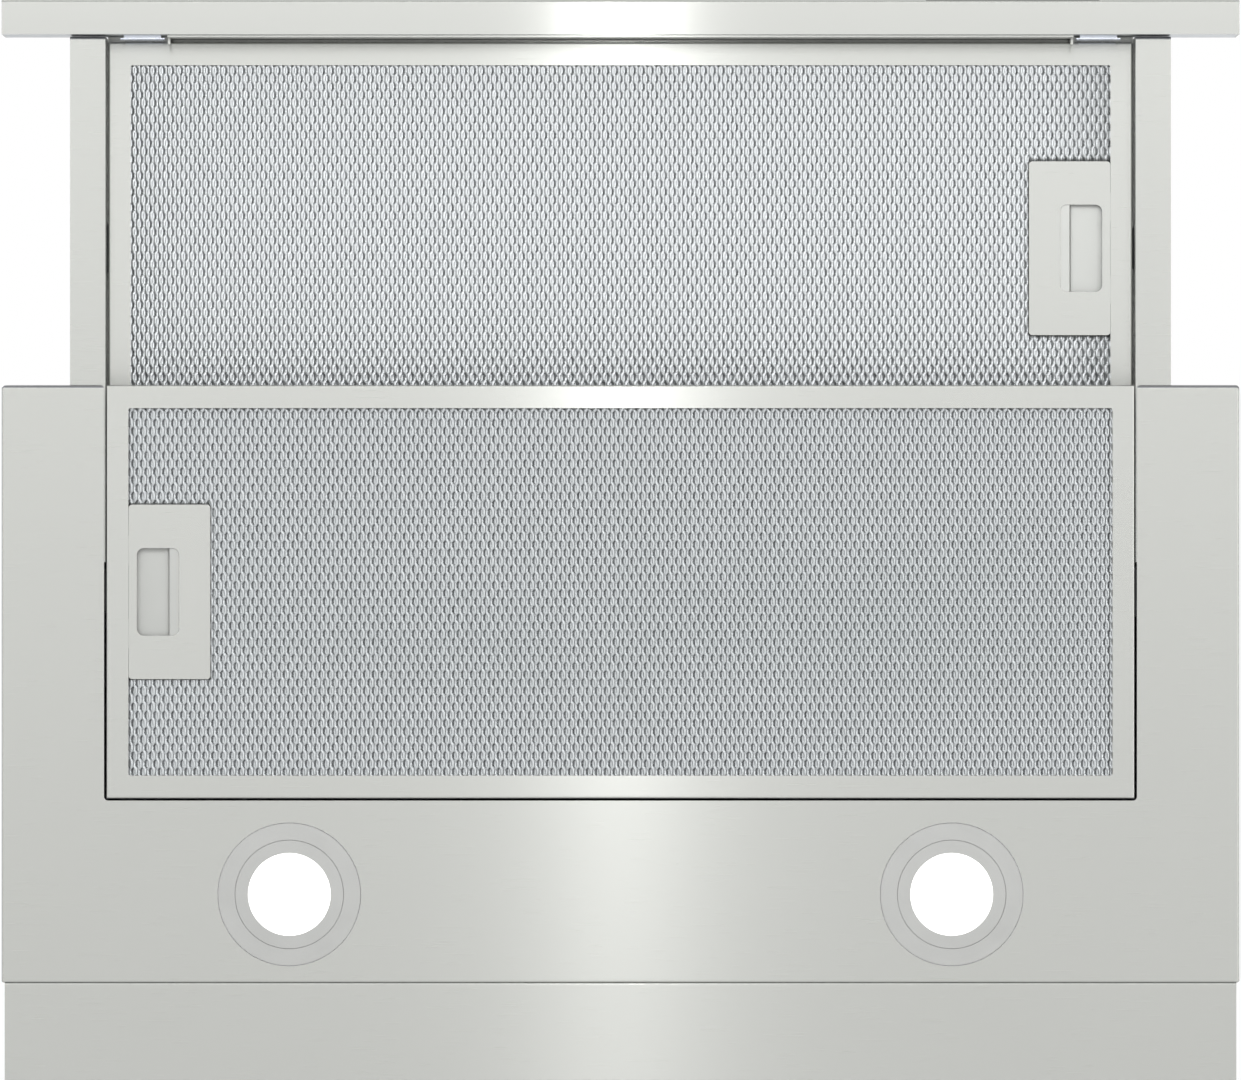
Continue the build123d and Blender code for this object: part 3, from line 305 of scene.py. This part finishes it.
def circuitBoard(name, s):
    material, shader = newMaterial(name, s["color"], 0.0, s["roughness"])
    place = addNode(material, "ShaderNodeTexCoord")
    tracks = addNode(material, "ShaderNodeTexBrick")
    tracks.inputs["Color1"].default_value = s["board"]
    tracks.inputs["Color2"].default_value = s["patch"]
    tracks.inputs["Mortar"].default_value = s["track"]
    tracks.inputs["Scale"].default_value = s["scale"]
    tracks.inputs["Mortar Size"].default_value = s["trackWidth"]
    join(material, place.outputs["Object"], tracks.inputs["Vector"])
    join(material, tracks.outputs["Color"], shader.inputs["Base Color"])
    return material


lensSet = {
    "color": (0.92, 0.92, 0.9),
    "roughness": 0.35,
    "cloudScale": 300,
    "clouds": 0.02,
    "light": (1, 1, 0.99, 1),
    "glow": 1.0,
}


def lampLens(name, s):
    material, shader = newMaterial(name, s["color"], 0.0, s["roughness"])
    shade(material, shader, noiseOf(material, s["cloudScale"], 2), s["color"], s["clouds"])
    shader.inputs["Emission Color"].default_value = s["light"]
    shader.inputs["Emission Strength"].default_value = s["glow"]
    return material


satin = {"clouds": 0.02, "poreDepth": 0.00001}
drawn = {"cloudScale": 300}  # the expanded sheet, whose patches are as small as its strands
finishes = {
    "stainless": brushedSteel("brushedStainless", steelSet),
    # the filter frames and the latches get painted shade past the filter's sides
    "filter_steel": paintGapShade(brushedSteel("brushedFilterSteel", filterLitSteelSet), gapShadeSet),
    "latch_steel": paintGapShade(plainMetal("satinLatch", (0.44, 0.447, 0.43), 0.42, **satin), gapShadeSet),
    "spring_steel": plainMetal("springSteel", (0.42, 0.42, 0.43), 0.3),
    "mesh_aluminium": plainMetal("bareAluminium", (0.568, 0.589, 0.599), 0.54, **drawn),
    "galvanised": galvanised("galvanisedSheet", zincSet),
    "zinc_plate": plainMetal("zincPlate", (0.6, 0.63, 0.69), 0.22),
    "black_plastic": plastic("blackPlastic", (0.018, 0.018, 0.02), 0.48),
    "red_plastic": plastic("redPlastic", (0.42, 0.02, 0.015), 0.35),
    "blower_plastic": plastic("blowerPlastic", (0.05, 0.05, 0.054), 0.5),
    "fan_plastic": plastic("fanPlastic", (0.12, 0.12, 0.13), 0.5),
    "motor_steel": plainMetal("motorSteel", (0.3, 0.31, 0.32), 0.45),
    "core_steel": plainMetal("coreSteel", (0.22, 0.22, 0.23), 0.5),
    "box_plastic": plastic("boxPlastic", (0.08, 0.08, 0.085), 0.5),
    "circuit_board": circuitBoard("circuitBoard", boardSet),
    "white_plastic": plastic("whitePlastic", (0.72, 0.72, 0.7), 0.45),
    "lamp_aluminium": plainMetal("castAluminium", (0.62, 0.62, 0.64), 0.5),
    "lamp_ring": plainMetal("satinSilver", (0.455, 0.459, 0.447), 0.45, **satin),
    "lamp_lens": lampLens("opalLens", lensSet),
    "button_silver": plainMetal("satinButton", (0.52, 0.52, 0.52), 0.35),
}
shadedRailSteel = brushedSteel("brushedRail", railShadedSteelSet)
# pieces given a darker or lighter copy of their slot's metal, with painted shade or painted light
paintedLightFinishes = {
    # painted light: the front filter's mesh is a lighter copy of the bare aluminium, so it reads brighter
    # against its frame
    "front_filter_mesh": plainMetal("paintedLightAluminium", (0.675, 0.697, 0.707), 0.54, **drawn),
    "base_tray": brushedSteel("brushedBase", baseSteelSet),
    "fascia_shell": brushedSteel("brushedFascia", fasciaShadedSteelSet),
    "drawer_rail_left": shadedRailSteel,
    "drawer_rail_right": shadedRailSteel,
}
for entry in frame["record"]["subparts"]:
    piece = nodes[entry["node"]]
    piece.data.materials.clear()
    piece.data.materials.append(paintedLightFinishes.get(entry["node"], finishes[entry["material_slot"]]))


# expanded aluminium mesh of the two grease filters

meshSet = {
    "pitch": 0.00431,  # from diamond to diamond along the filter
    "row": 0.00392,  # from one row to the next, which is set over by half a pitch
    "thick": 0.0003,
    "bond": 0.0020,  # length over which two strands stay joined
    "half": (0.2391, 0.0955),  # half length and half width of each layer
    "handle": (-0.19815, 0.0423),  # the handle's inner edge and half its width
    # each layer's middle above the filter's underside, its shift in pitches and rows, its
    # strands' width at a joint and between joints, and their lean there in degrees
    "layers": {
        "Face": (0.0018, 0, 0, 0.0014, 0.00215, -28, 2),
        "Middle": (0.0026, 0.42, 0, 0.00205, 0.00215, -12, 0),
        "Back": (0.0031, 0.1, 0, 0.00215, 0.00215, 0, 0),
    },
    "lengths": 2,  # each sheet is laid in two lengths, which meet in the middle
    "endRoom": 0.0002,  # no knot lies nearer to a strand's end
    "trim": (0.0001, 0.001),  # how near a straight strand's knots are to the handle and to an end
}


def strandRuns(x, s):
    # the stretches of one strand on each side of the handle
    (edge, side), end = s["handle"], s["half"][1]
    if x > edge:
        return [(-end, end)]
    return [(-end, -side), (side, end)]


def meshLayer(s, length, slip, level, over, along, strand, broad, steep, flat):
    # strands that zigzag along Y, each joined in turn to its left and right neighbour
    halfPitch, (edge, side), end = s["pitch"] / 2, s["handle"], s["half"][1]
    straight = (strand, steep) == (broad, flat)
    steep, flat = math.radians(steep), math.radians(flat)
    swing = (halfPitch - strand * math.cos(steep)) / 2
    rows = int(end / s["row"]) + 2
    # two knots at each joint and one on the slant between two joints, as Y, side, lean and width
    knots = [((number + slip[1] + along) * s["row"] + shift, turn * (-1) ** number,
              *((steep, strand) if turn else (flat, broad)))
             for number in range(-rows, rows + 1)
             for shift, turn in ((-s["bond"] / 2, 1), (s["bond"] / 2, 1), (s["row"] / 2, 0))]
    if straight:
        # a strand that doesn't bend needs knots only by its ends and by the handle's
        near, far = s["trim"]
        stops = [sign * side + gap for sign in (-1, 1) for gap in (-far, -near, near, far)]
        knots = [(y, 1, flat, broad) for y in (far - end, *stops, end - far)]
    knotY, knotSide, knotLean, knotWidth = np.array(knots).T
    strands = int(s["half"][0] / halfPitch) + 3  # a few more, since the slip moves them aside
    points, faces, start = [], [], 0
    for number in np.array_split(np.arange(-strands, strands), s["lengths"])[length]:
        x = (number + 0.5 + 2 * (slip[0] + over)) * halfPitch
        if abs(x) > s["half"][0]:
            continue
        for low, high in strandRuns(x, s):
            inside = (knotY > low + s["endRoom"]) & (knotY < high - s["endRoom"])
            ys = np.concatenate([[low], knotY[inside], [high]])
            sides = np.interp(ys, knotY, knotSide) * (1 - 2 * (number % 2))
            lean, width = np.interp(ys, knotY, knotLean), np.interp(ys, knotY, knotWidth)
            line = np.stack([x + sides * swing, ys, level + sides * strand * math.sin(steep) / 2], 1)
            wide = np.stack([np.cos(lean), 0 * lean, -np.sin(lean)], 1) * width[:, None]
            through = np.stack([np.sin(lean), 0 * lean, np.cos(lean)], 1) * s["thick"]
            corners = (-0.5, -0.5), (0.5, -0.5), (0.5, 0.5), (-0.5, 0.5)
            ring = np.stack([line + i * wide + j * through for i, j in corners], 1)
            # the strand beside the handle is trimmed along it
            beside = np.abs(ys) < side
            ring[beside, :, 0] = np.maximum(ring[beside, :, 0], edge)
            points.append(ring.reshape(-1, 3))
            base = start + 4 * np.arange(len(ys) - 1)
            for i, j in ((0, 1), (1, 2), (2, 3), (3, 0)):
                faces.append(np.stack([base + i, base + j, base + 4 + j, base + 4 + i], 1))
            last = start + 4 * (len(ys) - 1)
            faces.append(np.array([[start + 3, start + 2, start + 1, start],
                                   [last, last + 1, last + 2, last + 3]]))
            start += 4 * len(ys)
    return np.concatenate(points), np.concatenate(faces)


def meshPiece(name, points, faces, body, node):
    mesh = bpy.data.meshes.new(name)
    mesh.vertices.add(len(points))
    mesh.vertices.foreach_set("co", points.astype(np.float32).ravel())
    mesh.loops.add(faces.size)
    mesh.loops.foreach_set("vertex_index", faces.astype(np.int32).ravel())
    mesh.polygons.add(len(faces))
    mesh.polygons.foreach_set("loop_start", np.arange(0, faces.size, 4, dtype=np.int32))
    mesh.update(calc_edges=True)
    mesh.validate()
    mesh.materials.append(paintedLightFinishes.get(node, finishes["mesh_aluminium"]))
    piece = bpy.data.objects.new(name, mesh)
    bpy.context.scene.collection.objects.link(piece)
    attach(piece, body)
    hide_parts(node)
    print(name, "has", len(mesh.polygons), "faces")


def filterMesh(name, body, node, seat, toward, slip, s):
    # seat is the filter's middle on its underside; toward is 1 when its latch is at the left;
    # slip is where the sheets were cut from their roll, in pitches and rows
    for sheet, layer in s["layers"].items():
        for length in range(s["lengths"]):
            points, faces = meshLayer(s, length, slip, *layer)
            points[:, :2] *= toward
            meshPiece(f"{name}{sheet}{length + 1}", points + np.array(seat), faces, body, node)


for name, body, toward, slip in (("rear", "rear_filter", 1, (0.4, 0.21)),
                                 ("front", "drawer", -1, (-0.44, 0.0))):
    low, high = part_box(name + "_filter_frame")
    seat = (0, (low.y + high.y) / 2, low.z)
    filterMesh(name + "ExpandedMesh", body, name + "_filter_mesh", seat, toward, slip, meshSet)


# lights, floor and background

lightSet = {
    "key": {"place": (0, -0.36, -1.34), "aim": (0, -0.05, -0.04), "size": (0.02, 0.12), "watts": 0.55},
    "strip": {"place": (0, -0.58, -1.34), "aim": (0, -0.1, -0.04), "size": (5.0, 0.3), "watts": 15.0},
    "side": {"place": (3.2, -0.2, -3.0), "aim": (0, -0.2, 0), "size": (2.0, 2.0), "watts": 20.0},
    "above": {"place": (-1.5, -2.0, 2.5), "aim": (0, 0, 0.1), "size": (2.0, 2.0), "watts": 60.0},
    "behind": {"place": (2.0, 2.2, 1.8), "aim": (0, 0, 0.1), "size": (2.0, 2.0), "watts": 35.0},
}
roomSet = {
    "daylight": 0.45,
    "white": (1, 1, 1, 1),
    "glow": 0.68,  # of the floor, for the rays that see the background
    "floorDrop": 11.5,
    "floorSize": 60.0,
    "floorColor": (0.85, 0.85, 0.85),
    "floorRoughness": 0.8,
    "floorClouds": 0.01,
}


def addLight(name, s):
    data = bpy.data.lights.new(name, "AREA")
    data.shape = "RECTANGLE"
    data.size, data.size_y = s["size"]
    data.energy = s["watts"]
    light = bpy.data.objects.new(name, data)
    light.location = s["place"]
    light.rotation_euler = (Vector(s["aim"]) - Vector(s["place"])).to_track_quat("-Z", "Y").to_euler()
    light.visible_camera = False
    bpy.context.scene.collection.objects.link(light)


def seenRays(tree):
    # camera, glossy and transmission rays see the white background
    path = tree.nodes.new("ShaderNodeLightPath")
    total = path.outputs["Is Camera Ray"]
    for ray in ("Is Glossy Ray", "Is Transmission Ray"):
        most = tree.nodes.new("ShaderNodeMath")
        most.operation = "MAXIMUM"
        tree.links.new(total, most.inputs[0])
        tree.links.new(path.outputs[ray], most.inputs[1])
        total = most.outputs["Value"]
    return total


def makeWorld(s):
    world = bpy.data.worlds.new("room")
    bpy.context.scene.world = world
    world.use_nodes = True
    tree = world.node_tree
    tree.nodes.clear()
    out = tree.nodes.new("ShaderNodeOutputWorld")
    mix = tree.nodes.new("ShaderNodeMixShader")
    soft, white = tree.nodes.new("ShaderNodeBackground"), tree.nodes.new("ShaderNodeBackground")
    soft.inputs["Strength"].default_value = s["daylight"]
    soft.inputs["Color"].default_value = white.inputs["Color"].default_value = s["white"]
    seen = seenRays(tree)
    tree.links.new(seen, mix.inputs["Fac"])
    tree.links.new(soft.outputs["Background"], mix.inputs[1])
    tree.links.new(white.outputs["Background"], mix.inputs[2])
    tree.links.new(mix.outputs["Shader"], out.inputs["Surface"])


def makeFloor(s):
    half, level = s["floorSize"] / 2, -s["floorDrop"]
    mesh = bpy.data.meshes.new("floor")
    corners = [(x * half, y * half, level) for x, y in ((-1, -1), (1, -1), (1, 1), (-1, 1))]
    mesh.from_pydata(corners, [], [(0, 1, 2, 3)])
    material, shader = newMaterial("paleFloor", s["floorColor"], 0.0, s["floorRoughness"])
    shade(material, shader, noiseOf(material, 2, 2), s["floorColor"], s["floorClouds"])
    tree = material.node_tree
    glow = tree.nodes.new("ShaderNodeEmission")
    dim = tree.nodes.new("ShaderNodeMath")
    dim.operation = "MULTIPLY"
    dim.inputs[1].default_value = s["glow"]
    total = tree.nodes.new("ShaderNodeAddShader")
    tree.links.new(seenRays(tree), dim.inputs[0])
    tree.links.new(dim.outputs["Value"], glow.inputs["Strength"])
    tree.links.new(shader.outputs["BSDF"], total.inputs[0])
    tree.links.new(glow.outputs["Emission"], total.inputs[1])
    tree.links.new(total.outputs["Shader"], tree.nodes["Material Output"].inputs["Surface"])
    mesh.materials.append(material)
    floor = bpy.data.objects.new("floor", mesh)
    bpy.context.scene.collection.objects.link(floor)


for name, s in lightSet.items():
    addLight(name, s)
makeWorld(roomSet)
makeFloor(roomSet)
bpy.context.scene.view_settings.view_transform = "Standard"
print("lights, background and floor are in")
